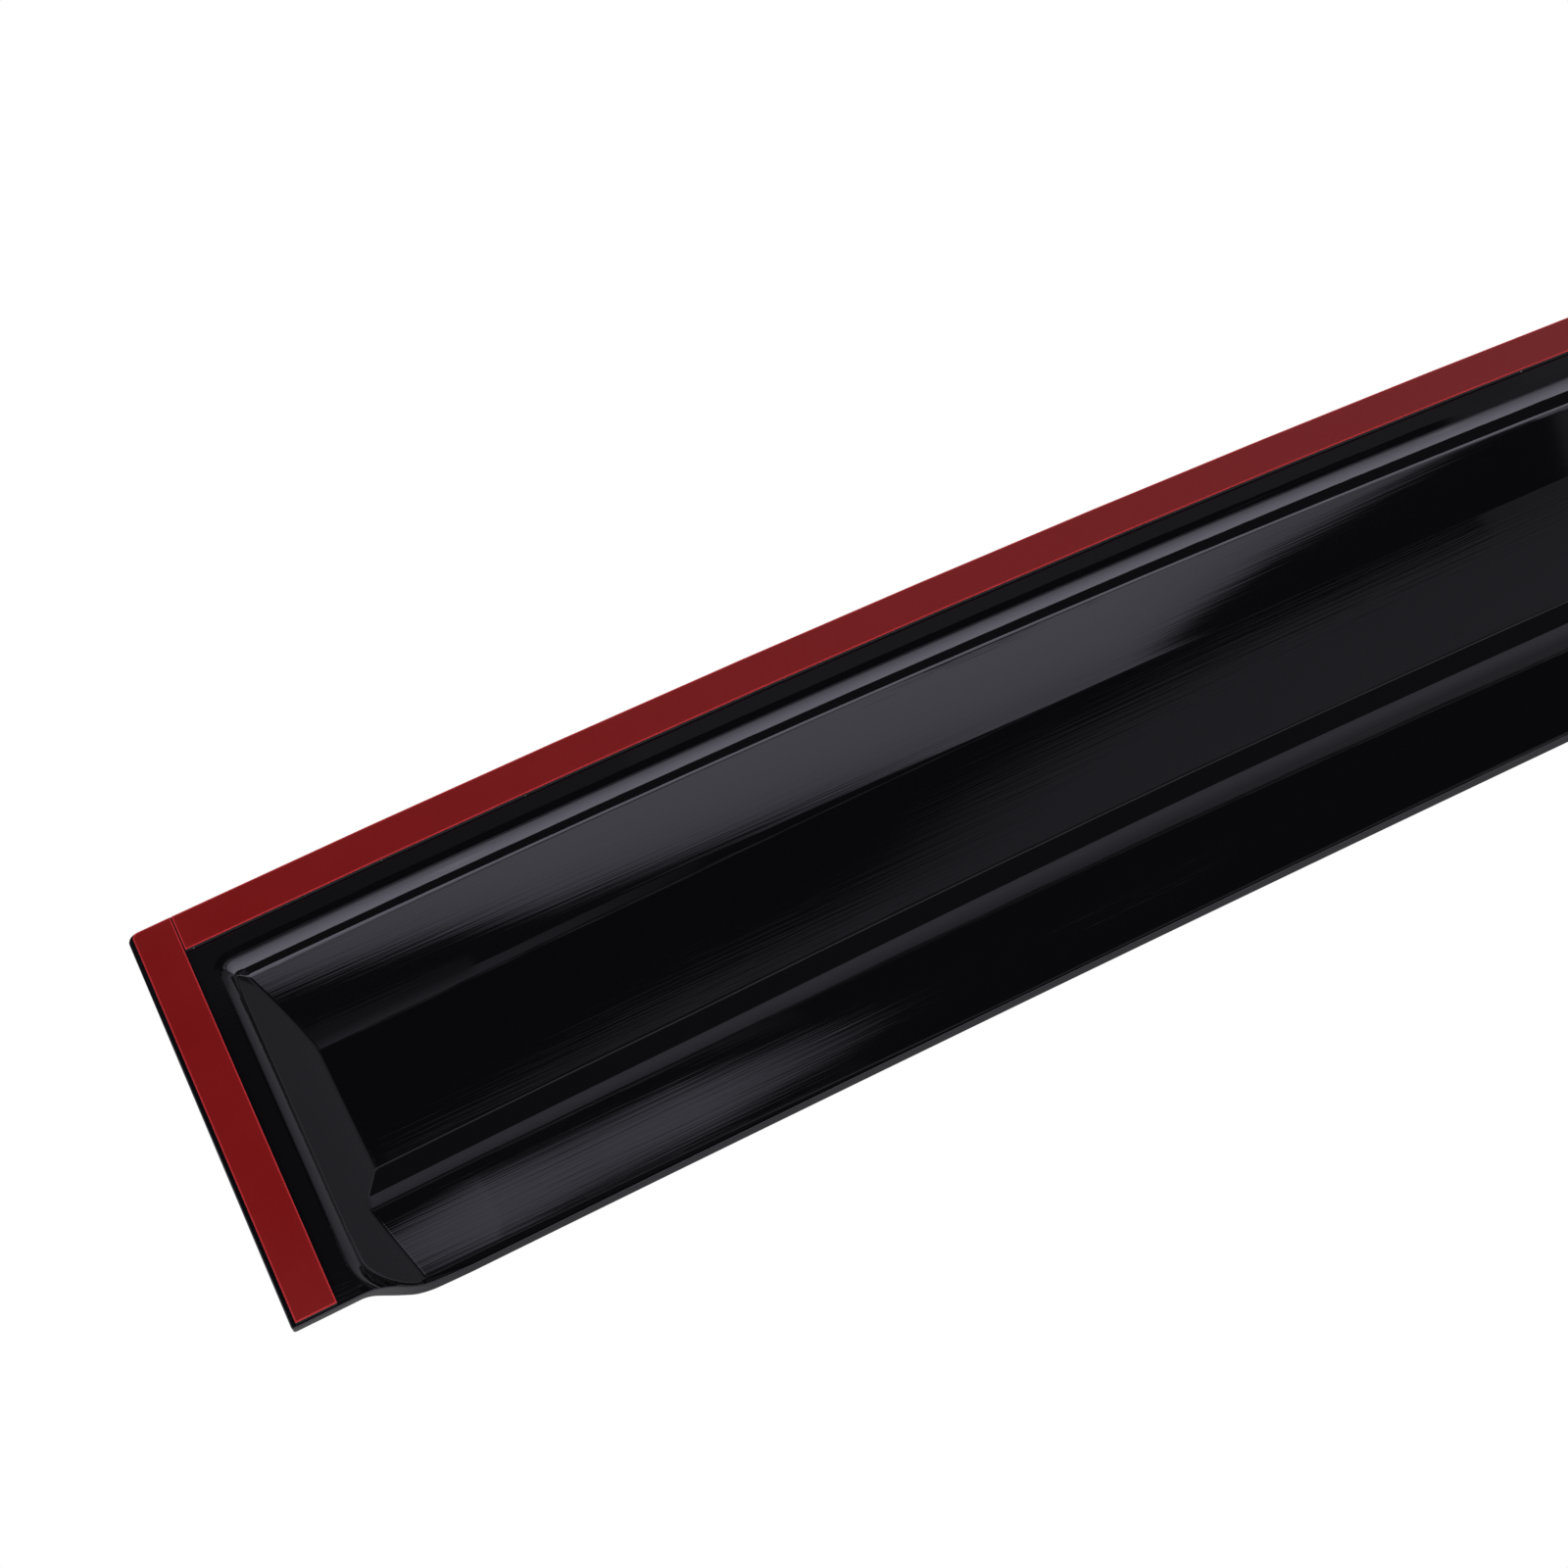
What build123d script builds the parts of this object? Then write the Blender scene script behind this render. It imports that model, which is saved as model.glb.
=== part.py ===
"""Window rain deflector: a moulded shell that hangs on strips of mounting tape.

Millimetres. X runs along the deflector from its square end to its raked end, Z is up as it hangs over
the window, and Y points outwards, away from the vehicle. The origin lies on the exposed face of the top
tape, on that tape's centre line, at the crown of the arched top edge.
"""
import os
from math import cos, pi, radians, sin, sqrt, tan

from build123d import *

# Mounting tape: a foam core with a peel-off film over it
tape_width = 8.0
foam_thickness = 0.85
liner_thickness = 0.15
tape_inset_top = 0.6
tape_inset_end = 1.1
tape_inset_bottom = 0.5
tape_joint_gap = 0.3
tape_corner_radius = 1.2

# Outline of the moulding, seen along Y
wall = 2.1
arch_radius = 4620.0
square_end = 144.3
raked_top = 408.9
rake_angle = 28.0
lip_drop = 84.2
lip_arch_radius = 15000.0
lip_crown = 80.0
flange_top_radius = 1.8
flange_bottom_radius = 0.6
raked_foot_radius = 5.0

# Rim of the bowl, where the flange turns down into it
top_strip = 13.8
end_strip = 13.3
rim_angle = 52.0
rim_rounding = 2.0
rim_top_radius = 3.5
rim_bottom_radius = 11.5
lip_depth = 7.4

# Walls that close the two ends of the bowl
end_wall_angle = 31.0
end_wall_depth = 2.7

# Wavy floor of the bowl, from its upper bend down to its lower slope: the height of each run, how much
# deeper or shallower it ends, and the radius of each bend between two runs
floor_arch_radius = 6500.0
floor_crown = 50.0
upper_slope_angle = 16.0
upper_bend_drop = 17.0
upper_bend_depth = 5.1
upper_bend_radius = 120.0
middle_slope_height = 13.3
middle_slope_fall = 3.0
crease_radius = 18.0
plateau_height = 27.1
plateau_fall = 0.45
riser_foot_radius = 2.5
riser_height = 5.5
riser_rise = 2.3
crest_radius = 1.5
ridge_height = 4.6
ridge_rise = 0.83
ridge_radius = 20.0
lower_slope_angle = 10.2
least_radius = 0.5

# Sizes that follow from those above
tape_thickness = foam_thickness + liner_thickness
flange_face = tape_thickness
tape_radius = arch_radius + tape_width / 2
flange_radius = tape_radius + tape_inset_top
rim_radius = flange_radius - top_strip
rake_slope = tan(radians(rake_angle))
rim_run = 1 / tan(radians(rim_angle))
rim_offset = wall / sin(radians(rim_angle))
rim_overrun = lip_depth * rim_run
end_wall_run = 1 / tan(radians(end_wall_angle))
end_wall_offset = wall / sin(radians(end_wall_angle))

# Reach of the solids that are cut away or trimmed, well past the faces they make
clearance = 1.0
bowl_reach = 13.0
deep_radius_share = 0.28
block_reach = 40.0


def top_arc(radius):
    """Arc about the centre of the arched top, as (X and Z of its centre, radius)."""
    return (0, -arch_radius, radius)


def lip_arc(rise):
    """Arc parallel to the lip's shallow arch and a distance above it, as (X and Z of its centre, radius)."""
    return (lip_crown, -lip_drop - lip_arch_radius, lip_arch_radius + rise)


def arc_point(arc, x):
    """Point on an arc, at a given X."""
    crown, centre, radius = arc
    return (x, sqrt(radius**2 - (x - crown) ** 2) + centre)


def raked_point(strip, z):
    """Point at height z on the line a strip's width inside the raked end."""
    return (raked_top - z * rake_slope - strip / cos(radians(rake_angle)), z)


def raked_corner(strip, arc):
    """Point where the line a strip's width inside the raked end meets an arc."""
    crown, centre, radius = arc
    reach = raked_point(strip, centre)[0] - crown
    steepness = 1 + rake_slope**2
    height = (reach * rake_slope + sqrt(steepness * radius**2 - reach**2)) / steepness
    return raked_point(strip, height + centre)


def arched_outline(y, left, top, strip, foot, top_corner, left_foot, right_foot):
    """Sketch at depth y: a straight left end, an arched top, a raked right end and an arched foot.

    The last three values are the radii of both top corners and of each bottom corner.
    """
    with BuildSketch(Plane.XZ.offset(-y)) as outline:
        with BuildLine():
            top_left = arc_point(top, left)
            top_right = raked_corner(strip, top)
            foot_left = arc_point(foot, left)
            foot_right = raked_corner(strip, foot)
            ThreePointArc(top_left, arc_point(top, 0), top_right)
            Line(top_right, foot_right)
            ThreePointArc(foot_right, arc_point(foot, lip_crown), foot_left)
            Line(foot_left, top_left)
        make_face()
        fillet(outline.vertices().sort_by(Axis.Y)[2:], top_corner)
        fillet(outline.vertices().sort_by_distance(foot_left)[0], left_foot)
        fillet(outline.vertices().sort_by_distance(foot_right)[0], right_foot)
    return outline.sketch


def flange_outline(y):
    """Sketch of the moulding's whole outline at depth y."""
    return arched_outline(
        y,
        -square_end,
        top_arc(flange_radius),
        0,
        lip_arc(0),
        flange_top_radius,
        flange_bottom_radius,
        raked_foot_radius,
    )


def rim_outline(depth, grow):
    """Sketch of the bowl's sloping rim at a depth behind the flange face, grown outwards by a wall."""
    inward = depth * rim_run - grow
    radius_share = 1 - (1 - deep_radius_share) * depth / bowl_reach
    foot_radius = rim_bottom_radius * radius_share + grow
    return arched_outline(
        flange_face + depth,
        -square_end + end_strip + inward,
        top_arc(rim_radius - inward),
        end_strip + inward,
        lip_arc(inward - rim_overrun),
        rim_top_radius * radius_share + grow,
        foot_radius,
        foot_radius,
    )


def shifted_path(points, distance):
    """Chain of points moved sideways by a distance, each run parallel to where it was."""
    runs = [(Vector(*b) - Vector(*a)).normalized() for a, b in zip(points, points[1:])]
    sides = [Vector(run.Y, -run.X) for run in runs]
    before = [sides[0]] + sides
    after = sides + [sides[-1]]
    moved = []
    for point, one, two in zip(points, before, after):
        corner = Vector(*point) + (one + two) * (distance / (1 + one.dot(two)))
        moved.append((corner.X, corner.Y))
    return moved


def floor_path(distance):
    """Corners and fillet radii of the floor's section, shifted outwards by a distance.

    Each corner is (distance from the floor arch's axis, Y).
    """
    runs = [
        (block_reach, block_reach * tan(radians(upper_slope_angle))),
        (middle_slope_height, middle_slope_fall),
        (plateau_height, plateau_fall),
        (riser_height, -riser_rise),
        (ridge_height, -ridge_rise),
        (block_reach, block_reach * tan(radians(lower_slope_angle))),
    ]
    drop = upper_bend_drop - runs[0][0]
    depth = upper_bend_depth - runs[0][1]
    points = [(floor_arch_radius - drop, flange_face + depth)]
    for height, fall in runs:
        drop += height
        depth += fall
        points.append((floor_arch_radius - drop, flange_face + depth))
    hollow_radii = [upper_bend_radius, crease_radius, riser_foot_radius]
    crown_radii = [crest_radius, ridge_radius]
    radii = [radius + distance for radius in hollow_radii]
    radii += [max(radius - distance, least_radius) for radius in crown_radii]
    return shifted_path(points, distance), radii


def floor_block(distance):
    """Everything on the vehicle's side of the wavy floor, as a solid that follows the floor's arch."""
    points, radii = floor_path(distance)
    lid = flange_face - block_reach
    left_angle = (square_end + floor_crown + block_reach) / floor_arch_radius
    right_angle = (raked_point(0, -lip_drop)[0] - floor_crown + block_reach) / floor_arch_radius
    axis = Axis((floor_crown, 0, -floor_arch_radius), (0, 1, 0))
    section_plane = Plane(
        origin=axis.position,
        x_dir=(-sin(left_angle), 0, cos(left_angle)),
        z_dir=(-cos(left_angle), 0, -sin(left_angle)),
    )
    with BuildPart() as block:
        with BuildSketch(section_plane):
            with BuildLine():
                FilletPolyline(*points, radius=radii)
                Polyline(points[-1], (points[-1][0], lid), (points[0][0], lid), points[0])
            make_face()
        revolve(axis=axis, revolution_arc=(left_angle + right_angle) * 180 / pi)
    return block.part


def end_wall_block(distance):
    """Everything between the two sloping end walls, as a long solid, moved outwards by a distance."""
    near = flange_face - block_reach
    far = flange_face + block_reach
    top = block_reach
    bottom = -lip_drop - block_reach
    with BuildPart() as block:
        for y in (near, far):
            run = (y - flange_face - end_wall_depth) * end_wall_run
            strip = end_strip + end_wall_depth * rim_run + run - distance
            left = -square_end + strip
            with BuildSketch(Plane.XZ.offset(-y)):
                with BuildLine():
                    Polyline(
                        (left, top),
                        raked_point(strip, top),
                        raked_point(strip, bottom),
                        (left, bottom),
                        close=True,
                    )
                make_face()
        loft(ruled=True)
    return block.part


def bowl(start_depth, rim_grow, floor_shift, wall_shift):
    """Solid that fills the bowl, from a depth behind the flange face down to its floor."""
    rim = rim_outline(start_depth, rim_grow)
    deep_rim = rim_outline(bowl_reach, rim_grow)
    floor = floor_block(floor_shift)
    end_walls = end_wall_block(wall_shift)
    with BuildPart() as body:
        loft(sections=[rim, deep_rim], ruled=True)
        add(floor, mode=Mode.INTERSECT)
        add(end_walls, mode=Mode.INTERSECT)
    return body.part


def top_tape_outline(y):
    """Sketch at depth y of the tape along the arched top edge, butted between the two end tapes."""
    end_gap = tape_inset_end + tape_width + tape_joint_gap
    left = -square_end + end_gap
    top = top_arc(tape_radius)
    low = top_arc(tape_radius - tape_width)
    with BuildSketch(Plane.XZ.offset(-y)) as tape:
        with BuildLine():
            upper = ThreePointArc(
                arc_point(top, left),
                arc_point(top, 0),
                raked_corner(end_gap, top),
            )
            lower = ThreePointArc(
                arc_point(low, left),
                arc_point(low, 0),
                raked_corner(end_gap, low),
            )
            Line(upper @ 0, lower @ 0)
            Line(upper @ 1, lower @ 1)
        make_face()
    return tape.sketch


def square_end_tape_outline(y):
    """Sketch at depth y of the tape down the square end, rounded at its outer top corner."""
    left = -square_end + tape_inset_end
    right = left + tape_width
    edge = top_arc(tape_radius)
    foot = lip_arc(tape_inset_bottom)
    with BuildSketch(Plane.XZ.offset(-y)) as tape:
        with BuildLine():
            top = ThreePointArc(
                arc_point(edge, left),
                arc_point(edge, (left + right) / 2),
                arc_point(edge, right),
            )
            Polyline(top @ 1, arc_point(foot, right), arc_point(foot, left), top @ 0)
        make_face()
        fillet(tape.vertices().sort_by_distance(top @ 0)[0], tape_corner_radius)
    return tape.sketch


def raked_end_tape_outline(y):
    """Sketch at depth y of the tape down the raked end, rounded at its two outer corners."""
    inner_strip = tape_inset_end + tape_width
    edge = top_arc(tape_radius)
    foot_arc = lip_arc(tape_inset_bottom)
    foot = raked_corner(tape_inset_end, foot_arc)
    with BuildSketch(Plane.XZ.offset(-y)) as tape:
        with BuildLine():
            top = ThreePointArc(
                raked_corner(inner_strip, edge),
                raked_corner(tape_inset_end + tape_width / 2, edge),
                raked_corner(tape_inset_end, edge),
            )
            Polyline(top @ 1, foot, raked_corner(inner_strip, foot_arc), top @ 0)
        make_face()
        fillet(tape.vertices().sort_by_distance(top @ 1)[0], tape_corner_radius)
        fillet(tape.vertices().sort_by_distance(foot)[0], raked_foot_radius - tape_inset_end)
    return tape.sketch


os.makedirs("parts", exist_ok=True)

# Shell: a flange and a bowl moulded in one sheet, trimmed square to the flange along the lip
outline = flange_outline(flange_face)
border = outline.wire()
outer_bowl = bowl(0, rim_offset, wall, end_wall_offset)
inner_bowl = bowl(-clearance, 0, 0, 0)
with BuildPart() as deflector_shell:
    add(outer_bowl)
    extrude(outline, amount=-block_reach, mode=Mode.INTERSECT)
    extrude(outline, amount=-wall)
    add(inner_bowl, mode=Mode.SUBTRACT)
    face_edges = deflector_shell.edges().group_by(Axis.Y)[0]
    rim_edges = face_edges.filter_by(lambda edge: border.distance_to(edge.center()) > clearance)
    fillet(rim_edges, rim_rounding)

deflector_shell.part.label = "deflector_shell"
export_step(deflector_shell.part, "parts/deflector_shell.step")

# Tapes: each strip is a foam core on the flange, with its film on the side that meets the vehicle
tape_outlines = {
    "top_tape": top_tape_outline,
    "square_end_tape": square_end_tape_outline,
    "raked_end_tape": raked_end_tape_outline,
}
tape_layers = {"liner": (0, liner_thickness), "foam": (liner_thickness, foam_thickness)}
for tape_name, tape_outline in tape_outlines.items():
    for layer_name, (layer_face, layer_thickness) in tape_layers.items():
        layer_outline = tape_outline(layer_face)
        with BuildPart() as tape_layer:
            extrude(layer_outline, amount=-layer_thickness)
        tape_layer.part.label = f"{tape_name}_{layer_name}"
        export_step(tape_layer.part, f"parts/{tape_layer.part.label}.step")
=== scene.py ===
"""Window rain deflector: the moulded shell, its mounting tape, and a plain studio to show it in."""
from math import cos, radians, sqrt, tan

import bpy
import numpy as np
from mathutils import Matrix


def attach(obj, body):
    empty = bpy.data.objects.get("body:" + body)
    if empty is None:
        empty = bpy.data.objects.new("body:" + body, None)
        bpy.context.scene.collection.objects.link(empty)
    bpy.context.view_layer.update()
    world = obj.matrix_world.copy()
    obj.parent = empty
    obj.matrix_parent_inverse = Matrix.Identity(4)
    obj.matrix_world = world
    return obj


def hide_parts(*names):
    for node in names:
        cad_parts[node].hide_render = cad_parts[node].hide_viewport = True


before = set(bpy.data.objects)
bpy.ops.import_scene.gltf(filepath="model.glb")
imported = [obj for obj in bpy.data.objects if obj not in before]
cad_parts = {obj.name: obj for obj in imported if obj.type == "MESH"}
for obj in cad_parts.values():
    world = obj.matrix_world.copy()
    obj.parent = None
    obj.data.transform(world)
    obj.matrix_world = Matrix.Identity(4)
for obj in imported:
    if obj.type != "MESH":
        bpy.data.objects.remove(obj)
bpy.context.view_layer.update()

# Sizes of the moulding in millimetres. The outline is the part's own but for the lip, which hangs a little
# lower between the ends. The bowl follows the part's bowl to a millimetre or two, with finer bends added.
MM = 0.001

# Outline and flange
wall = 2.1
arch_radius = 4620.0
flange_radius = 4624.6
square_end = 144.3
raked_top = 408.9
rake_angle = radians(28.0)
lip_drop = 84.2
lip_arch_radius = 15000.0
lip_crown = 80.0
lip_dip = 1.45
far_dip = 0.6
dip_start = 13.0
dip_end = 27.0
flange_face = 1.0
flange_top_radius = 1.8
flange_bottom_radius = 0.6
raked_foot_radius = 5.0

# Rim of the bowl, which runs on below the lip but rises towards it at the two lower corners
top_strip = 13.8
end_strip = 13.3
rim_angle = radians(52.0)
rim_top_radius = 3.5
rim_bottom_radius = 11.5
rim_overrun = 5.93
corner_lift = 1.8
lift_start = 20.0
lift_end = 34.0

# Lip, which turns forward and is cut at a tilt
lip_depth = 7.2
lip_turn = tan(radians(31.0))
lip_turn_hollow = 1.0
cut_tilt = 0.45

# Walls that close the two ends of the bowl, and the share of the rim's slope that their outer side has
end_rim_share = 0.82
end_wall_angle = radians(34.6)
end_wall_start = 2.5
end_wall_depth = 2.1

# Wavy floor of the bowl, from its upper slope down to its ridge: the height of each run, how much deeper it
# ends, and the radius of each bend between two runs. The crease is sharper from the middle on, and the ridge
# sags towards the square end.
floor_arch_radius = 6500.0
floor_crown = 50.0
upper_bend_drop = 21.0
upper_bend_depth = 6.25
outer_run = 40.0
upper_slope = tan(radians(16.0))
ridge_slope = tan(radians(8.0))
floor_runs = [
    (outer_run, outer_run * upper_slope),
    (9.3, 1.85),
    (27.1, 0.45),
    (5.5, -2.3),
    (2.2, -0.45),
    (outer_run, -outer_run * ridge_slope),
]
floor_radii = [180.0, 18.0, 2.5, 1.5, 50.0]
crease_bend = 1
sharp_crease = 0.8
crease_start = -45.0
crease_end = 45.0
ridge_sag = 1.0
sag_start = 60.0
sag_end = -50.0
ridge_radius = 2.0
least_radius = 0.5

# The hollow slope below the ridge eases from the square end towards the middle,
# where it and the lip come forward
slope_rise = 15.5
slope_radius = 750.0
steepest_run = 8.5
slope_bend = 0.00047
lower_slope = tan(radians(11.3))
eased_slope = tan(radians(6.6))
lower_depth = 5.9
eased_depth = 5.15
ease_start = -103.0
slope_ease_end = 5.0
depth_ease_end = 150.0
lip_ease = 0.9

# Bends of the rim's inner side, along the top and the lip and at the ends.
# Each is (distance inside the rim's line, half its width, slope it adds).
# The front edge of the first set is softer towards the square end.
rim_bends = [(-1.4, 0.15, 0.042), (0.35, 0.1, 0.378), (1.55, 1.05, 0.9), (2.65, 0.1, 0.4)]
end_bends = [(0.0, 0.3, 0.1), (0.25, 0.15, 0.6), (1.2, 0.9, 0.3), (2.25, 0.08, 0.5)]
front_edge = 1
soft_edge = 0.45
soft_start = -70.0
soft_end = -115.0
back_bend = 1.2
bowl_margin = 0.3
end_share_range = (-2.0, 6.0)

# Radii of the bowl's soft inner corners, with the slope that changes there, and the broken edge all round
top_hollow = 0.5
corner_hollow = 0.8
lip_hollow = 0.8
end_hollow = 1.0
outer_share = 0.4
foot_hollow = 1.5
top_change = 1.38
lip_change = 1.84
end_change = 0.5
corner_change = 1.0
edge_round = 0.25

# Ranges over which those corners change into each other: heights, places along X, depths, distances inside
lip_heights = (-35.0, -55.0)
corner_heights = (-70.0, -80.0)
corner_places = (-70.0, -120.0)
wall_depths = (-0.4, 0.4)
corner_distances = (0.5, 1.5)

# Step over which the sheet's slopes are measured
normal_step = 0.01

# Sizes that follow from those above
rim_radius = flange_radius - top_strip
rim_slope = tan(rim_angle)
end_wall_slope = tan(end_wall_angle)


# Shape of the sheet, as depths behind the flange face

def share_between(value, start, end):
    """How far a value has got from a start to an end, from 0 to 1."""
    return np.clip((value - start) / (end - start), 0, 1)


def ramp(past, half):
    """Nothing before a point and a steady rise after it, with a soft start."""
    return np.where(past < -half, 0, np.where(past > half, past, (past + half) ** 2 / (4 * half)))


def floor_corners(shift):
    """Corners (drop, depth) and bend radii of the floor's section, moved outwards by a shift."""
    points = [np.array([upper_bend_drop - floor_runs[0][0], upper_bend_depth - floor_runs[0][1]])]
    for run in floor_runs:
        points.append(points[-1] + np.array(run))
    ways = [(b - a) / np.linalg.norm(b - a) for a, b in zip(points, points[1:])]
    sides = [np.array([-way[1], way[0]]) for way in ways]
    before = [sides[0]] + sides
    after = sides + [sides[-1]]
    moved = [p + (a + b) * shift / (1 + a @ b) for p, a, b in zip(points, before, after)]
    radii = []
    for radius, way, next_way in zip(floor_radii, ways, ways[1:]):
        is_hollow = next_way[1] < way[1]
        radii.append(radius + shift if is_hollow else max(radius - shift, least_radius))
    return moved, radii


def wave_depth(x, drop, shift):
    """Depth of the floor's wavy section down to its ridge, at a drop below the arch's crown."""
    points, radii = floor_corners(shift)
    sharpened = floor_radii[crease_bend] - sharp_crease
    radii[crease_bend] = radii[crease_bend] - sharpened * share_between(x, crease_start, crease_end)
    slopes = [(b[1] - a[1]) / (b[0] - a[0]) for a, b in zip(points, points[1:])]
    depth = points[0][1] + (drop - points[0][0]) * slopes[0]
    late = [0, 0, sag(x), sag(x), sag(x)]
    for point, radius, slope, next_slope, lag in zip(points[1:], radii, slopes, slopes[1:], late):
        turn = np.arctan(next_slope) - np.arctan(slope)
        middle = (np.arctan(next_slope) + np.arctan(slope)) / 2
        half = radius * np.tan(abs(turn) / 2) * np.cos(middle)
        depth = depth + (next_slope - slope) * ramp(drop - point[0] - lag, half)
    return depth


def round_corner(a, b, radius):
    """Distance inside a corner of two sides, which a radius rounds off."""
    inside = (a < radius) & (b < radius)
    return np.where(inside, radius - np.hypot(radius - a, radius - b), np.minimum(a, b))


def hollow(a, b, radius, slope_change):
    """Lesser of two depths, with a hollow of about this radius where they meet."""
    reach = radius * slope_change**2 / 2
    near = np.maximum(reach - np.abs(a - b), 0) / reach
    return np.minimum(a, b) - near * near * reach / 4


def raked_x(strip, z):
    """X of the line a strip's width inside the raked end, at height z."""
    return raked_top - z * tan(rake_angle) - strip / cos(rake_angle)


def along_lip(x):
    """Distance along the lip from the nearer end."""
    return np.minimum(x + square_end, raked_top + lip_drop * tan(rake_angle) - x)


def dip(x):
    """How far the lip hangs below the flange's foot, between the two ends."""
    share = share_between(along_lip(x), dip_start, dip_end)
    deep = lip_dip + far_dip * share_between(x, ease_start, depth_ease_end)
    return deep * share * share * (3 - 2 * share)


def arch_rise(x, z):
    """Height above the shallow arch that the lip follows."""
    return np.hypot(x - lip_crown, z + lip_drop + lip_arch_radius) - lip_arch_radius


def above_lip(x, z):
    """Height above the lip."""
    return arch_rise(x, z) + dip(x)


def sag(x):
    """How far the ridge and its foot lie below the floor's own arch, towards the square end."""
    return ridge_sag * share_between(x, sag_start, sag_end)


def floor_depth(x, z, shift):
    """Depth of the bowl's floor: the wave as far as the ridge, and the slope below it."""
    wave = wave_depth(x, floor_arch_radius - np.hypot(x - floor_crown, z + floor_arch_radius), shift)
    fall = lower_slope + (eased_slope - lower_slope) * share_between(x, ease_start, slope_ease_end)
    start = lower_depth + (eased_depth - lower_depth) * share_between(x, ease_start, depth_ease_end)
    run = slope_rise - arch_rise(x, z)
    below = np.maximum(run, 0)
    bend = slope_bend * ((below - steepest_run) ** 3 + steepest_run**3) / 3
    bend = bend + slope_bend * steepest_run**2 * np.minimum(run, 0)
    slope = start + run * fall - bend - run * run / (2 * slope_radius) + shift * sqrt(1 + lower_slope**2)
    radius = max(ridge_radius - shift, least_radius)
    return -hollow(-wave, -slope, radius, lower_slope + ridge_slope)


def lip_plane(x, z, shift):
    """Depth of the lip, which turns forward again below the slope."""
    ease = lip_ease * share_between(x, ease_start, depth_ease_end)
    return lip_depth - ease + above_lip(x, z) * lip_turn + shift * sqrt(1 + lip_turn**2)


def rim_sides(x, z):
    """Distances inside the lines where the rim starts to turn down: left, right, top and bottom."""
    left = x + square_end - end_strip
    right = (raked_x(end_strip, z) - x) * cos(rake_angle)
    top = rim_radius - np.hypot(x, z + arch_radius)
    ease = lip_ease * share_between(x, ease_start, depth_ease_end)
    lift = corner_lift * share_between(along_lip(x), lift_end, lift_start)
    bottom = above_lip(x, z) + rim_overrun - lift - ease / rim_slope
    return left, right, top, bottom


def inside_rim(x, z):
    """Distance inside the rim's line, all round the bowl."""
    left, right, top, bottom = rim_sides(x, z)
    inward = np.minimum(round_corner(left, top, rim_top_radius), round_corner(right, top, rim_top_radius))
    for side in (left, right):
        inward = np.minimum(inward, round_corner(side, bottom, rim_bottom_radius))
    return inward


def end_share(x, z):
    """Share of the two ends' own rim, from 0 along the top and the lip to 1 along the ends."""
    left, right, top, bottom = rim_sides(x, z)
    return share_between(np.minimum(top, bottom) - np.minimum(left, right), *end_share_range)


def bent_depth(inward, bends, softness):
    """Depth of the rim's inner side from its bends, with a softness of its front edge from 0 to 1."""
    depth = 0
    for index, (place, half, slope) in enumerate(bends):
        if index == front_edge:
            half = half + (soft_edge - half) * softness
        depth = depth + slope * ramp(inward - place, half)
    return depth


def rim_depth(x, z, shift):
    """Depth of the rim."""
    inward = inside_rim(x, z)
    at_end = end_share(x, z)
    if shift == 0:
        along = bent_depth(inward, rim_bends, share_between(x, soft_start, soft_end))
        return along + (bent_depth(inward, end_bends, 0) - along) * at_end
    spread = shift * (1 / cos(rim_angle) - 1) / rim_slope
    return shift + (1 - (1 - end_rim_share) * at_end) * rim_slope * ramp(inward + spread, back_bend)


def end_depth(x, z, shift):
    """Depth of the sloping walls that close the bowl's ends."""
    left, right, _, _ = rim_sides(x, z)
    inside = np.minimum(left, right) - end_wall_start
    return end_wall_depth + inside * end_wall_slope + shift / cos(end_wall_angle)


def sheet_depth(x, z, shift):
    """Depth of the sheet behind the flange face.

    The shift is 0 for its inner side, and the wall's thickness for its outer side.
    """
    rim = rim_depth(x, z, shift)
    slope_change = lower_slope + lip_turn
    floor = hollow(floor_depth(x, z, shift), lip_plane(x, z, shift), lip_turn_hollow + shift, slope_change)
    ends = end_depth(x, z, shift)
    bowl = hollow(floor, ends, foot_hollow + shift, end_wall_slope)
    at_lip = share_between(z, *lip_heights)
    at_end = share_between(floor - ends, *wall_depths)
    radius = top_hollow + (corner_hollow - top_hollow) * share_between(x, *corner_places)
    radius = radius + (lip_hollow - radius) * at_lip
    radius = radius + (end_hollow - radius) * at_end
    if shift > 0:
        radius = outer_share * (radius + shift)
    change = top_change + (lip_change - top_change) * at_lip
    inward = inside_rim(x, z)
    at_corner = share_between(z, *corner_heights) * share_between(inward, *corner_distances)
    wall_change = end_change + (corner_change - end_change) * at_corner
    change = change + (wall_change - change) * at_end
    return np.where(inward < -bowl_margin, rim, hollow(bowl, rim, radius, change))


def sheet_normal(x, z, shift):
    """Unit normal of the sheet's inner or outer side, pointing outwards, away from the vehicle."""
    step = normal_step
    slope_x = (sheet_depth(x + step, z, shift) - sheet_depth(x - step, z, shift)) / (2 * step)
    slope_z = (sheet_depth(x, z + step, shift) - sheet_depth(x, z - step, shift)) / (2 * step)
    normal = np.stack([-slope_x, np.ones_like(slope_x), -slope_z], -1)
    return normal / np.linalg.norm(normal, axis=-1, keepdims=True)


# Grid that the shell's mesh is laid on, close-set where the sheet bends

def arch_z(x, radius):
    """Height of an arc about the arch's centre."""
    return np.sqrt(radius**2 - x**2) - arch_radius


def lip_z(x, rise):
    """Height of a line a rise above the lip."""
    arch = np.sqrt((lip_arch_radius + rise) ** 2 - (x - lip_crown) ** 2) - lip_arch_radius
    return arch - lip_drop - dip(x)


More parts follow.
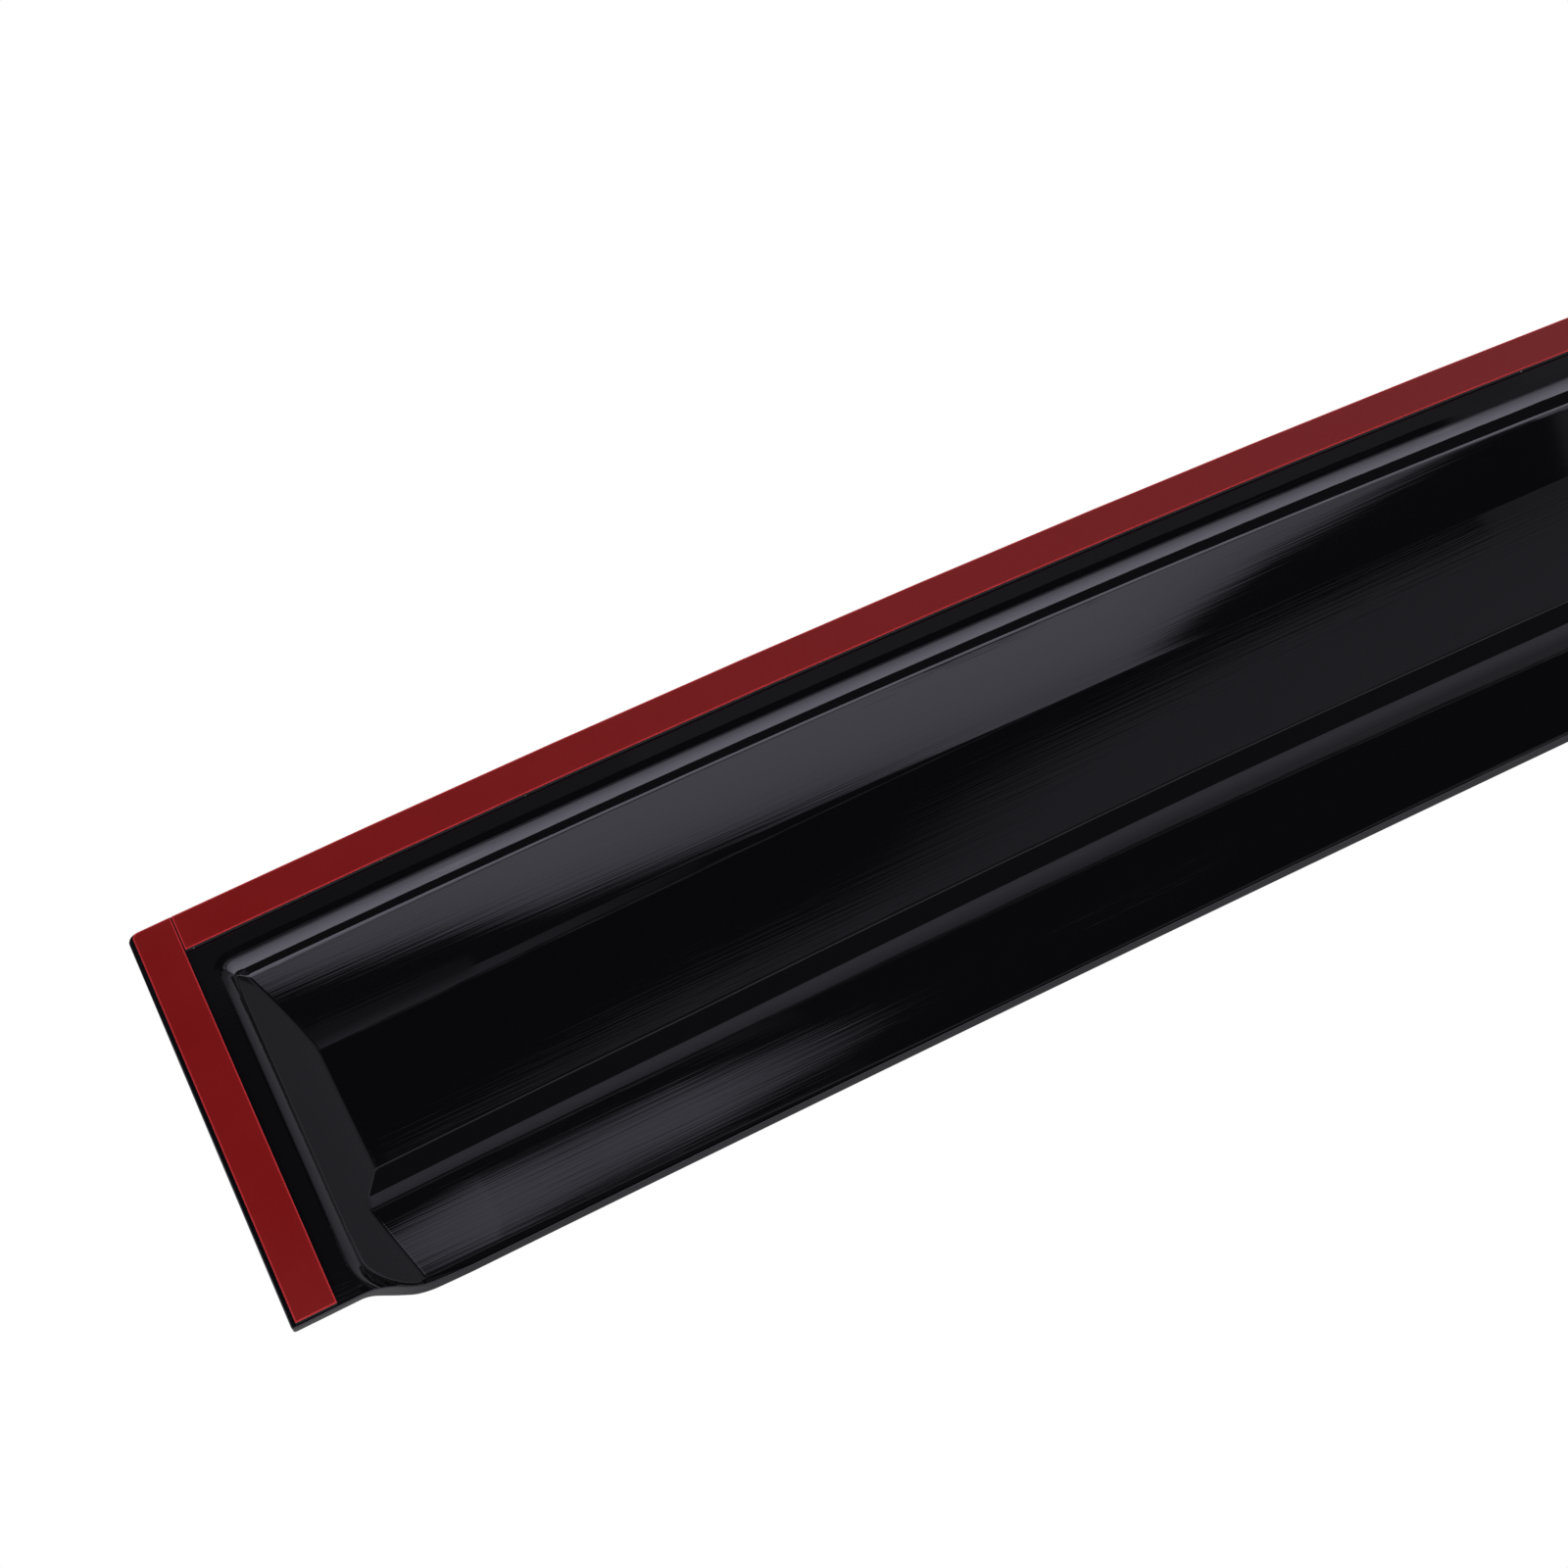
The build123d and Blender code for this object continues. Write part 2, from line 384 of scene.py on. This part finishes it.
def floor_z(x, drop):
    """Height of a line along the floor, at a drop below its crown."""
    return np.sqrt((floor_arch_radius - drop) ** 2 - (x - floor_crown) ** 2) - floor_arch_radius


# Guide lines along the sheet from the lip up to the top edge, and the rows between each and the next.
# They are at a rise above the lip, at a drop below the floor's crown with or without its sag, and at a
# distance outside the rim's line or inside the top edge.
lip_rows = [(0.0, 18), (3.2, 26)]
slope_rows = [(70.0, 12)]
ridge_rows = [(65.4, 8), (63.3, 6), (62.5, 5), (58.2, 9), (56.6, 12)]
crease_rows = [(32.6, 6), (30.8, 8), (29.8, 6), (27.8, 18)]
rim_rows = [(-4.5, 16), (-2.3, 8), (-0.7, 10), (0.05, 10), (2.0, 4)]
edge_rows = [(flange_top_radius, 5), (0.0, 0)]


def row_guides(x):
    """Height of each guide line at an X, with its number of rows."""
    guides = [(lip_z(x, rise), count) for rise, count in lip_rows]
    guides += [(floor_z(x, drop), count) for drop, count in slope_rows]
    guides += [(floor_z(x, drop + sag(x)), count) for drop, count in ridge_rows]
    guides += [(floor_z(x, drop), count) for drop, count in crease_rows]
    guides += [(arch_z(x, rim_radius + outside), count) for outside, count in rim_rows]
    return guides + [(arch_z(x, flange_radius - inside), count) for inside, count in edge_rows]


# Guide lines down the sheet at each end, and the columns between each and the next.
# Each is at a distance in from the end, or past the foot of the end wall.
column_guides = [
    (0.0, 5), (1.8, 4), (11.3, 8), (13.25, 9), (13.9, 7), (15.0, 14), (16.8, 18),
    (-0.6, 10), (0.6, 14),
    (44.0, 0),
]
foot_guides = (7, 8)
foot_range = (18.0, 27.0)
middle_columns = 72
settling_rounds = 8


def spread_lines(guides):
    """Position of every line: the index of the guide before it, and the share of the way to the next."""
    lines = []
    for index, (_, count) in enumerate(guides[:-1]):
        lines += [(index, step / count) for step in range(count)]
    return lines + [(len(guides) - 2, 1.0)]


column_lines = spread_lines(column_guides)
row_lines = spread_lines(row_guides(0.0))
end_columns = len(column_lines)
middle_shares = np.linspace(0, 1, middle_columns + 1)[1:-1]
rows = len(row_lines)
columns = 2 * end_columns + len(middle_shares)


def end_strips(x, z):
    """Distance of every end column from its end, at a place for each.

    Two of the guides keep to the foot of the end wall.
    """
    rise = (floor_depth(x, z, 0) - end_wall_depth) / end_wall_slope
    foot = np.clip(end_strip + end_wall_start + rise, *foot_range)
    guides = [
        distance + (foot if index in foot_guides else 0 * foot)
        for index, (distance, _) in enumerate(column_guides)
    ]
    return np.stack([
        guides[i][k] + share * (guides[i + 1][k] - guides[i][k])
        for k, (i, share) in enumerate(column_lines)
    ])


def column_x(x, z):
    """X of every column, from a first place for each: upright at the square end, raked at the other."""
    left = -square_end + end_strips(x[:end_columns], z[:end_columns])
    right_strips = end_strips(x[::-1][:end_columns], z[::-1][:end_columns])
    right = raked_x(right_strips, z[::-1][:end_columns])[::-1]
    start = left[-1]
    end = raked_x(column_guides[-1][0], z[end_columns:-end_columns])
    middle = start + middle_shares[:, None] * (end - start)
    return np.concatenate([left, middle, right])


def row_z(x):
    """Height of every row, at an X for each."""
    guides = [height for height, _ in row_guides(x)]
    heights = [guides[i] + share * (guides[i + 1] - guides[i]) for i, share in row_lines]
    return np.stack([height[:, j] for j, height in enumerate(heights)], -1)


def rounded(a, b, radius):
    """Shift of points near a square corner, so that the corner becomes round."""
    p = np.clip(1 - a / radius, 0, 1)
    q = np.clip(1 - b / radius, 0, 1)
    return radius * p * (1 - np.sqrt(1 - q * q / 2)), radius * q * (1 - np.sqrt(1 - p * p / 2))


grid_x = np.linspace(-square_end, raked_top, columns)[:, None] + np.zeros((1, rows))
grid_z = row_z(grid_x)
for _ in range(settling_rounds):
    grid_x = column_x(grid_x, grid_z)
    grid_z = row_z(grid_x)

# Round corners of the outline: at the right end or not, at the top or not, and the radius
corner_radii = [
    (False, True, flange_top_radius),
    (False, False, flange_bottom_radius),
    (True, True, flange_top_radius),
    (True, False, raked_foot_radius),
]
from_left = grid_x + square_end
from_right = (raked_x(0, grid_z) - grid_x) * cos(rake_angle)
from_top = flange_radius - np.hypot(grid_x, grid_z + arch_radius)
from_bottom = above_lip(grid_x, grid_z)
for at_right, at_top, radius in corner_radii:
    across, along = rounded(
        from_right if at_right else from_left,
        from_top if at_top else from_bottom,
        radius,
    )
    rise = -along if at_top else along
    grid_z = grid_z + rise
    grid_x = grid_x - across / cos(rake_angle) - rise * tan(rake_angle) if at_right else grid_x + across


def perimeter():
    """Indices of the grid's border, once round."""
    bottom = [(i, 0) for i in range(columns - 1)]
    right = [(columns - 1, j) for j in range(rows - 1)]
    top = [(i, rows - 1) for i in range(columns - 1, 0, -1)]
    left = [(0, j) for j in range(rows - 1, 0, -1)]
    return bottom + right + top + left


def new_object(name, points, faces, normals):
    """Mesh object from points in millimetres, smooth all over, with a normal for each point."""
    mesh = bpy.data.meshes.new(name)
    mesh.from_pydata([tuple(point) for point in np.asarray(points) * MM], [], faces)
    mesh.update()
    mesh.polygons.foreach_set("use_smooth", [True] * len(mesh.polygons))
    mesh.normals_split_custom_set_from_vertices([tuple(normal) for normal in normals])
    obj = bpy.data.objects.new(name, mesh)
    bpy.context.scene.collection.objects.link(obj)
    return obj


def outward_ways(border_x, border_z):
    """Unit ways out of the sheet's outline, along its border."""
    along_x = np.roll(border_x, -1) - np.roll(border_x, 1)
    along_z = np.roll(border_z, -1) - np.roll(border_z, 1)
    outward = np.stack([along_z, 0 * along_x, -along_x], -1)
    return outward / np.linalg.norm(outward, axis=1, keepdims=True)


def edge_loops(border_x, border_z, back_z, outward):
    """Points and normals of each loop of the broken edge, from the inner side to the outer side."""
    front = np.stack([border_x, flange_face + sheet_depth(border_x, border_z, 0), border_z], -1)
    back = np.stack([border_x, flange_face + sheet_depth(border_x, back_z, wall), back_z], -1)
    through = back - front
    through /= np.linalg.norm(through, axis=1, keepdims=True)
    outward = outward - (outward * through).sum(1, keepdims=True) * through
    outward /= np.linalg.norm(outward, axis=1, keepdims=True)
    half = sqrt(0.5)
    return [
        (front - edge_round * (1 - half) * (outward - through), half * (outward - through)),
        (front + edge_round * through, outward),
        (back - edge_round * through, outward),
        (back - edge_round * (1 - half) * (outward + through), half * (outward + through)),
    ]


def shell_faces(border, loop_count):
    """Faces of the inner side, the outer side and the loops between their borders."""
    count = columns * rows
    faces = []
    for i in range(columns - 1):
        for j in range(rows - 1):
            a = i * rows + j
            b = a + rows
            faces.append((a, b, b + 1, a + 1))
            faces.append((count + a, count + a + 1, count + b + 1, count + b))
    rings = [[i * rows + j for i, j in border]]
    for step in range(loop_count):
        start = 2 * count + step * len(border)
        rings.append(list(range(start, start + len(border))))
    rings.append([count + i * rows + j for i, j in border])
    for ring, next_ring in zip(rings, rings[1:]):
        for k in range(len(border)):
            m = (k + 1) % len(border)
            faces.append((ring[k], next_ring[k], next_ring[m], ring[m]))
    return faces


def make_shell():
    """The moulding: an inner side, an outer side behind it, and a broken edge all round that joins them."""
    border = perimeter()
    border_x = np.array([grid_x[i, j] for i, j in border])
    border_z = np.array([grid_z[i, j] for i, j in border])
    outward = outward_ways(border_x, border_z)
    sheet_x = grid_x.copy()
    sheet_z = grid_z.copy()
    for (i, j), way in zip(border, outward):
        sheet_x[i, j] -= edge_round * way[0]
        sheet_z[i, j] -= edge_round * way[2]

    points = []
    normals = []
    tilt = np.zeros_like(sheet_z)
    tilt[:, 0] = cut_tilt * dip(sheet_x[:, 0]) / lip_dip
    for shift, side_z, facing in ((0, sheet_z, -1), (wall, sheet_z - tilt, 1)):
        depth = flange_face + sheet_depth(sheet_x, side_z, shift)
        points.append(np.stack([sheet_x, depth, side_z], -1).reshape(-1, 3))
        normals.append(facing * sheet_normal(sheet_x, side_z, shift).reshape(-1, 3))
    back_z = border_z - np.array([tilt[i, j] for i, j in border])
    loops = edge_loops(border_x, border_z, back_z, outward)
    for loop_points, loop_normals in loops:
        points.append(loop_points)
        normals.append(loop_normals)
    faces = shell_faces(border, len(loops))
    return new_object("deflector_moulding", np.concatenate(points), faces, np.concatenate(normals))


shell = make_shell()
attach(shell, "root")
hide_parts("deflector_shell")


# Materials

def new_material(name):
    """Material with a principled shader, and a way to add linked nodes to it."""
    material = bpy.data.materials.new(name)
    material.use_nodes = True
    nodes = material.node_tree.nodes
    shader = nodes["Principled BSDF"]

    def add(kind, inputs=None, **settings):
        node = nodes.new(kind)
        for key, value in settings.items():
            setattr(node, key, value)
        for key, value in (inputs or {}).items():
            if isinstance(value, bpy.types.NodeSocket):
                material.node_tree.links.new(value, node.inputs[key])
            else:
                node.inputs[key].default_value = value
        return node

    def link(output, socket):
        material.node_tree.links.new(output, socket)

    return material, shader, add, link


def specks(add, place, density, size, least):
    """Mask of small scattered specks, from so many cells to the metre.

    A speck has a size in cells, and only a cell whose draw is above the least has one.
    """
    cells = add("ShaderNodeTexVoronoi", {"Vector": place, "Scale": density})
    draw = add("ShaderNodeSeparateColor", {"Color": cells.outputs["Color"]})
    near = add("ShaderNodeMath", {0: cells.outputs["Distance"], 1: size}, operation="LESS_THAN")
    kept = add("ShaderNodeMath", {0: draw.outputs["Red"], 1: least}, operation="GREATER_THAN")
    return add("ShaderNodeMath", {0: near.outputs[0], 1: kept.outputs[0]}, operation="MULTIPLY").outputs[0]


def gloss_black():
    """Glossy black acrylic, drawn lengthwise, with a little dust, and edges greyed partly by wear and partly
    as a painted highlight.
    """
    material, shader, add, link = new_material("gloss_black")
    shader.inputs["IOR"].default_value = 1.49
    shader.inputs["Specular Tint"].default_value = (0.86, 0.825, 1.0, 1)
    place = add("ShaderNodeTexCoord").outputs["Object"]
    drawn = add("ShaderNodeMapping", {"Vector": place, "Scale": (30, 2100, 2100)})
    streaks = add("ShaderNodeTexNoise", {"Vector": drawn.outputs["Vector"], "Scale": 1.0, "Detail": 3.0})
    relief = add("ShaderNodeBump", {"Height": streaks.outputs["Fac"], "Strength": 1.0, "Distance": 5.5e-6})
    link(relief.outputs["Normal"], shader.inputs["Normal"])
    dust = specks(add, place, 110.0, 0.02, 0.8)
    # Convex edges: rougher from wear, and grey in colour partly as wear and partly as a painted highlight
    # along them
    corners = add("ShaderNodeNewGeometry").outputs["Pointiness"]
    edge_highlight_and_wear = add("ShaderNodeMapRange", {
        "Value": corners, "From Min": 0.57, "From Max": 0.7, "To Max": 0.5,
    }).outputs["Result"]
    dust_wear_and_highlight = add("ShaderNodeMath", {0: edge_highlight_and_wear, 1: dust}, operation="MAXIMUM").outputs[0]
    patches = add("ShaderNodeTexNoise", {"Vector": place, "Scale": 45.0, "Detail": 4.0})
    polish = add("ShaderNodeMapRange", {
        "Value": patches.outputs["Fac"],
        "From Min": 0.35, "From Max": 0.7, "To Min": 0.022, "To Max": 0.045,
    }).outputs["Result"]
    roughness = add("ShaderNodeMath", {0: dust_wear_and_highlight, 1: 0.35, 2: polish}, operation="MULTIPLY_ADD")
    link(roughness.outputs[0], shader.inputs["Roughness"])
    # Base colour greys on dust specks and on edges, where the grey is partly a painted edge highlight
    colour = add("ShaderNodeMixRGB", {
        "Fac": dust_wear_and_highlight, "Color1": (0.0026, 0.0026, 0.0033, 1), "Color2": (0.055, 0.056, 0.06, 1),
    })
    link(colour.outputs["Color"], shader.inputs["Base Color"])
    return material


def red_film():
    """Dark red satin film, paler along its cut edges, and greyer towards the raked end as a painted sheen.
    """
    material, shader, add, link = new_material("red_film")
    shader.inputs["Specular IOR Level"].default_value = 0.5
    place = add("ShaderNodeTexCoord").outputs["Object"]
    rounded_normal = add("ShaderNodeBevel", {"Radius": 0.0005}, samples=8)
    flat_normal = add("ShaderNodeNewGeometry")
    likeness = add("ShaderNodeVectorMath", {
        0: rounded_normal.outputs["Normal"], 1: flat_normal.outputs["Normal"],
    }, operation="DOT_PRODUCT")
    edge = add("ShaderNodeMapRange", {
        "Value": likeness.outputs["Value"], "From Min": 0.998, "From Max": 0.93,
    })
    clouds = add("ShaderNodeTexNoise", {"Vector": place, "Scale": 70.0, "Detail": 5.0})
    tone = add("ShaderNodeMixRGB", {
        "Fac": clouds.outputs["Fac"],
        "Color1": (0.158, 0.0022, 0.0028, 1), "Color2": (0.178, 0.0032, 0.004, 1),
    })
    # Painted sheen: the red turns greyer towards the raked end, standing in for the reflection of a dim
    # panel
    along = add("ShaderNodeSeparateXYZ", {"Vector": place}).outputs["X"]
    painted_sheen = add("ShaderNodeMapRange", {"Value": along, "From Min": -0.14, "From Max": 0.12})
    sheen_tinted_red = add("ShaderNodeMixRGB", {
        "Fac": painted_sheen.outputs["Result"],
        "Color1": tone.outputs["Color"], "Color2": (0.163, 0.0115, 0.0135, 1),
    })
    colour = add("ShaderNodeMixRGB", {
        "Fac": edge.outputs["Result"], "Color1": sheen_tinted_red.outputs["Color"], "Color2": (0.5, 0.03, 0.038, 1),
    })
    link(colour.outputs["Color"], shader.inputs["Base Color"])
    gloss = add("ShaderNodeMapRange", {"Value": clouds.outputs["Fac"], "To Min": 0.17, "To Max": 0.24})
    link(gloss.outputs["Result"], shader.inputs["Roughness"])
    grain = add("ShaderNodeTexNoise", {"Vector": place, "Scale": 1400.0, "Detail": 2.0})
    relief = add("ShaderNodeBump", {"Height": grain.outputs["Fac"], "Strength": 0.6, "Distance": 1e-5})
    link(relief.outputs["Normal"], shader.inputs["Normal"])
    return material


def black_foam():
    """Closed-cell black foam, with a few pale crumbs."""
    material, shader, add, link = new_material("black_foam")
    shader.inputs["Specular IOR Level"].default_value = 0.25
    place = add("ShaderNodeTexCoord").outputs["Object"]
    cells = add("ShaderNodeTexVoronoi", {"Vector": place, "Scale": 2600.0})
    crumbs = specks(add, place, 450.0, 0.1, 0.88)
    tone = add("ShaderNodeMixRGB", {
        "Fac": cells.outputs["Distance"],
        "Color1": (0.006, 0.006, 0.007, 1), "Color2": (0.02, 0.02, 0.022, 1),
    })
    colour = add("ShaderNodeMixRGB", {
        "Fac": crumbs, "Color1": tone.outputs["Color"], "Color2": (0.2, 0.2, 0.2, 1),
    })
    link(colour.outputs["Color"], shader.inputs["Base Color"])
    matt = add("ShaderNodeMapRange", {"Value": cells.outputs["Distance"], "To Min": 0.95, "To Max": 0.75})
    link(matt.outputs["Result"], shader.inputs["Roughness"])
    relief = add("ShaderNodeBump", {"Height": cells.outputs["Distance"], "Strength": 0.8, "Distance": 6e-5})
    link(relief.outputs["Normal"], shader.inputs["Normal"])
    return material


def dress(obj, material):
    """Give an object one material."""
    obj.data.materials.clear()
    obj.data.materials.append(material)


dress(shell, gloss_black())
film_material = red_film()
foam_material = black_foam()
for tape in ("top_tape", "square_end_tape", "raked_end_tape"):
    for layer, material in (("liner", film_material), ("foam", foam_material)):
        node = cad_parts[f"{tape}_{layer}"]
        node.material_slots[0].material = material


# Studio, in metres

panel_distance = 1.0
dark_distance = 1.9


def panel(name, corners, radiance, faces=None):
    """Lit or dark panel, out of the camera's sight, which the gloss reflects.

    The radiance is one number, or one for each corner.
    """
    mesh = bpy.data.meshes.new(name)
    mesh.from_pydata(corners, [], faces or [tuple(range(len(corners)))])
    obj = bpy.data.objects.new(name, mesh)
    bpy.context.scene.collection.objects.link(obj)
    material, shader, add, link = new_material(name)
    shader.inputs["Base Color"].default_value = (0.004, 0.004, 0.004, 1)
    shader.inputs["Roughness"].default_value = 1.0
    shader.inputs["Specular IOR Level"].default_value = 0.0
    shader.inputs["Emission Color"].default_value = (1, 1, 1, 1)
    if isinstance(radiance, (int, float)):
        shader.inputs["Emission Strength"].default_value = radiance
    else:
        glow = mesh.attributes.new("glow", "FLOAT", "POINT")
        glow.data.foreach_set("value", radiance)
        read = add("ShaderNodeAttribute", attribute_name="glow")
        link(read.outputs["Fac"], shader.inputs["Emission Strength"])
    dress(obj, material)
    obj.visible_camera = False


def rectangle(across, up):
    """Corners of a rectangle from its range across and its range up."""
    return [(across[0], up[0]), (across[1], up[0]), (across[1], up[1]), (across[0], up[1])]


def front_panel(name, outline, radiance, distance=panel_distance):
    """Panel that stands in front of the deflector, from points (X, Z)."""
    panel(name, [(x, -distance, z) for x, z in outline], radiance)


def front_strips(name, lines):
    """Front panel that runs from line to line of points (X, Z), each line with its own radiance."""
    count = len(lines[0][0])
    corners = [(x, -panel_distance, z) for points, _ in lines for x, z in points]
    radiance = [glow for points, glow in lines for _ in points]
    faces = []
    for row in range(len(lines) - 1):
        for k in range(row * count, row * count + count - 1):
            faces.append((k, k + 1, k + 1 + count, k + count))
    panel(name, corners, radiance, faces)


def side_panel(name, x, outline, radiance):
    """Upright panel beside the deflector, from points (Y, Z)."""
    panel(name, [(x, y, z) for y, z in outline], radiance)


def level_panel(name, height, outline, radiance):
    """Level panel above or below the deflector, from points (X, Y)."""
    panel(name, [(x, y, height) for x, y in outline], radiance)


# Softbox with a slanting soft top edge, for the slopes: (X, Z) along that edge, and its lines from the top
# down as (rise, radiance)
softbox_edge = [
    (-0.4, -0.17), (-0.08, -0.045), (-0.013, -0.02), (0.057, 0.018), (0.142, 0.038), (0.238, 0.055),
    (0.34, 0.075), (0.44, 0.075), (0.5, 0.02), (0.557, -0.018), (0.669, -0.058), (0.78, -0.1),
]
softbox_steps = [(0.016, 0.0), (-0.016, 1.05), (-0.06, 1.35), (-0.15, 1.6)]
front_strips("front_softbox", [
    ([(x, z + rise) for x, z in softbox_edge], glow) for rise, glow in softbox_steps
])

# Grey panel with a slanting soft top edge, for the floor of the bowl: X, and lines of Z with their radiance
grey_x = [-0.1, 0.012, 0.11, 0.215, 0.27, 0.34, 0.46, 0.58, 0.7, 0.815, 1.6]
grey_foot = 0.33
grey_lines = [
    ([0.345, 0.362, 0.371, 0.376, 0.395, 0.416, 0.426, 0.431, 0.432, 0.427, 0.42], 0.0),
    ([0.34, 0.354, 0.363, 0.367, 0.372, 0.402, 0.416, 0.425, 0.427, 0.424, 0.417], 0.13),
    ([0.335, 0.345, 0.357, 0.361, 0.363, 0.365, 0.405, 0.421, 0.422, 0.421, 0.414], 0.27),
    ([grey_foot] * len(grey_x), 0.3),
]
front_strips("grey_panel", [(list(zip(grey_x, heights)), glow) for heights, glow in grey_lines])

# Dim panels that the flange and the crease reflect, and brighter ones above them for the ridge
flange_height = (0.52, 0.62)
ridge_width = (-0.8, 1.6)
front_panel("crease_panel", [(-0.4, 0.0), (0.0, 0.04), (0.0, 0.3), (-0.4, 0.3)], [0.08, 0.08, 0.34, 0.34])
front_panel("crease_fade", rectangle((0.0, 0.15), (0.08, 0.3)), [0.32, 0.03, 0.03, 0.32])
front_panel("flange_panel_left", rectangle((-0.4, 0.15), flange_height), [0.02, 0.14, 0.14, 0.02])
front_panel("flange_panel", rectangle((0.15, 0.85), flange_height), 0.19)
front_panel("end_flange_panel", rectangle((-0.4, -0.13), (0.3, 0.52)), 0.03)
front_panel("high_fade", rectangle(ridge_width, (0.68, 0.95)), [0.25, 0.25, 0.6, 0.6])
front_panel("high_panel", rectangle(ridge_width, (0.95, 1.3)), 0.6)

# Softbox below that brightens towards the deflector, for the rim: (near Y, far Y, and the radiance at each)
low_width = (-0.6, 1.6)
low_steps = [
    (-1.46, -0.88, 0.0, 1.5), (-0.88, -0.44, 1.5, 2.2), (-0.44, -0.22, 2.2, 2.9), (-0.22, -0.103, 2.9, 3.4),
]
for index, (near, far, near_glow, far_glow) in enumerate(low_steps):
    glow = [near_glow, near_glow, far_glow, far_glow]
    level_panel(f"low_softbox_{index}", -0.45, rectangle(low_width, (near, far)), glow)
level_panel("low_dark", -0.46, rectangle(low_width, (-0.103, 0.12)), 0.03)
level_panel("low_card", -0.5, rectangle(low_width, (0.12, 1.8)), 0.5)

# Panels to the right, for the end wall and the rim beside it: (near Y, far Y, top, radiance at each Y).
# The card above them is for the rim's lower corner.
right_foot = -0.3
right_steps = [
    (-1.4, -0.62, 0.8, 0.2, 0.34), (-0.62, -0.42, 0.8, 0.34, 0.32), (-0.42, -0.36, 0.8, 0.32, 0.47),
    (-0.36, -0.1, 1.7, 0.47, 0.66), (-0.1, 0.06, 1.7, 0.66, 0.66),
]
for index, (near, far, top, near_glow, far_glow) in enumerate(right_steps):
    glow = [near_glow, far_glow, far_glow, near_glow]
    side_panel(f"right_panel_{index}", panel_distance, rectangle((near, far), (right_foot, top)), glow)
level_panel("corner_card", 2.1, rectangle((0.85, 2.2), (-0.3, 0.8)), 0.5)

# Softbox that lights the film, and dark walls and a dark ceiling that keep the gloss black
panel("key_softbox", [(-1.6, -1.3, -0.3), (-0.6, -1.6, -0.3), (-0.6, -1.6, 0.9), (-1.6, -1.3, 0.9)], 3.0)
dark_height = (-0.45, 3.0)
dark_width = (-3.0, 3.0)
front_panel("dark_front", rectangle(dark_width, dark_height), 0.0, dark_distance)
side_panel("dark_right", 1.8, rectangle((-dark_distance, 0.6), dark_height), 0.0)
side_panel("dark_left", -2.2, rectangle((-dark_distance, 0.0), dark_height), 0.0)
level_panel("dark_top", 2.2, rectangle(dark_width, (-dark_distance, 3.2)), 0.045)

floor_height = -0.6
floor_reach = 12.0
floor_mesh = bpy.data.meshes.new("studio_floor")
floor_span = (-floor_reach, floor_reach)
floor_points = [(x, y, floor_height) for x, y in rectangle(floor_span, floor_span)]
floor_mesh.from_pydata(floor_points, [], [(0, 1, 2, 3)])
floor = bpy.data.objects.new("studio_floor", floor_mesh)
bpy.context.scene.collection.objects.link(floor)
floor_material, floor_shader, _, _ = new_material("pale_floor")
floor_shader.inputs["Base Color"].default_value = (0.82, 0.82, 0.82, 1)
floor_shader.inputs["Roughness"].default_value = 0.9
dress(floor, floor_material)

# White surroundings, as the camera and reflections see them, with a softer light on everything else
white_level = 1.0
ambient_level = 0.8
world = bpy.data.worlds.new("studio")
bpy.context.scene.world = world
world.use_nodes = True
tree = world.node_tree
tree.nodes.clear()


def surroundings(strength):
    """White light from all round, of a strength."""
    node = tree.nodes.new("ShaderNodeBackground")
    node.inputs["Color"].default_value = (1, 1, 1, 1)
    node.inputs["Strength"].default_value = strength
    return node.outputs[0]


def either(a, b):
    """Mask of what two masks cover."""
    node = tree.nodes.new("ShaderNodeMath")
    node.operation = "MAXIMUM"
    tree.links.new(a, node.inputs[0])
    tree.links.new(b, node.inputs[1])
    return node.outputs[0]


ray = tree.nodes.new("ShaderNodeLightPath").outputs
seen = either(either(ray["Is Camera Ray"], ray["Is Glossy Ray"]), ray["Is Transmission Ray"])
mix = tree.nodes.new("ShaderNodeMixShader")
tree.links.new(seen, mix.inputs[0])
tree.links.new(surroundings(ambient_level), mix.inputs[1])
tree.links.new(surroundings(white_level), mix.inputs[2])
output = tree.nodes.new("ShaderNodeOutputWorld")
tree.links.new(mix.outputs[0], output.inputs[0])

# Camera at the photo's angle
camera_place = (-0.12444, -0.43917, -0.25855)
camera_turn = (120.788, 26.9203, 1.1734)
lens = bpy.data.cameras.new("camera")
lens.sensor_width = 36.0
lens.lens = 58.5
lens.clip_start = 0.01
camera = bpy.data.objects.new("camera", lens)
camera.location = camera_place
camera.rotation_euler = [radians(angle) for angle in camera_turn]
bpy.context.scene.collection.objects.link(camera)
bpy.context.scene.camera = camera
bpy.context.scene.view_settings.view_transform = "Standard"
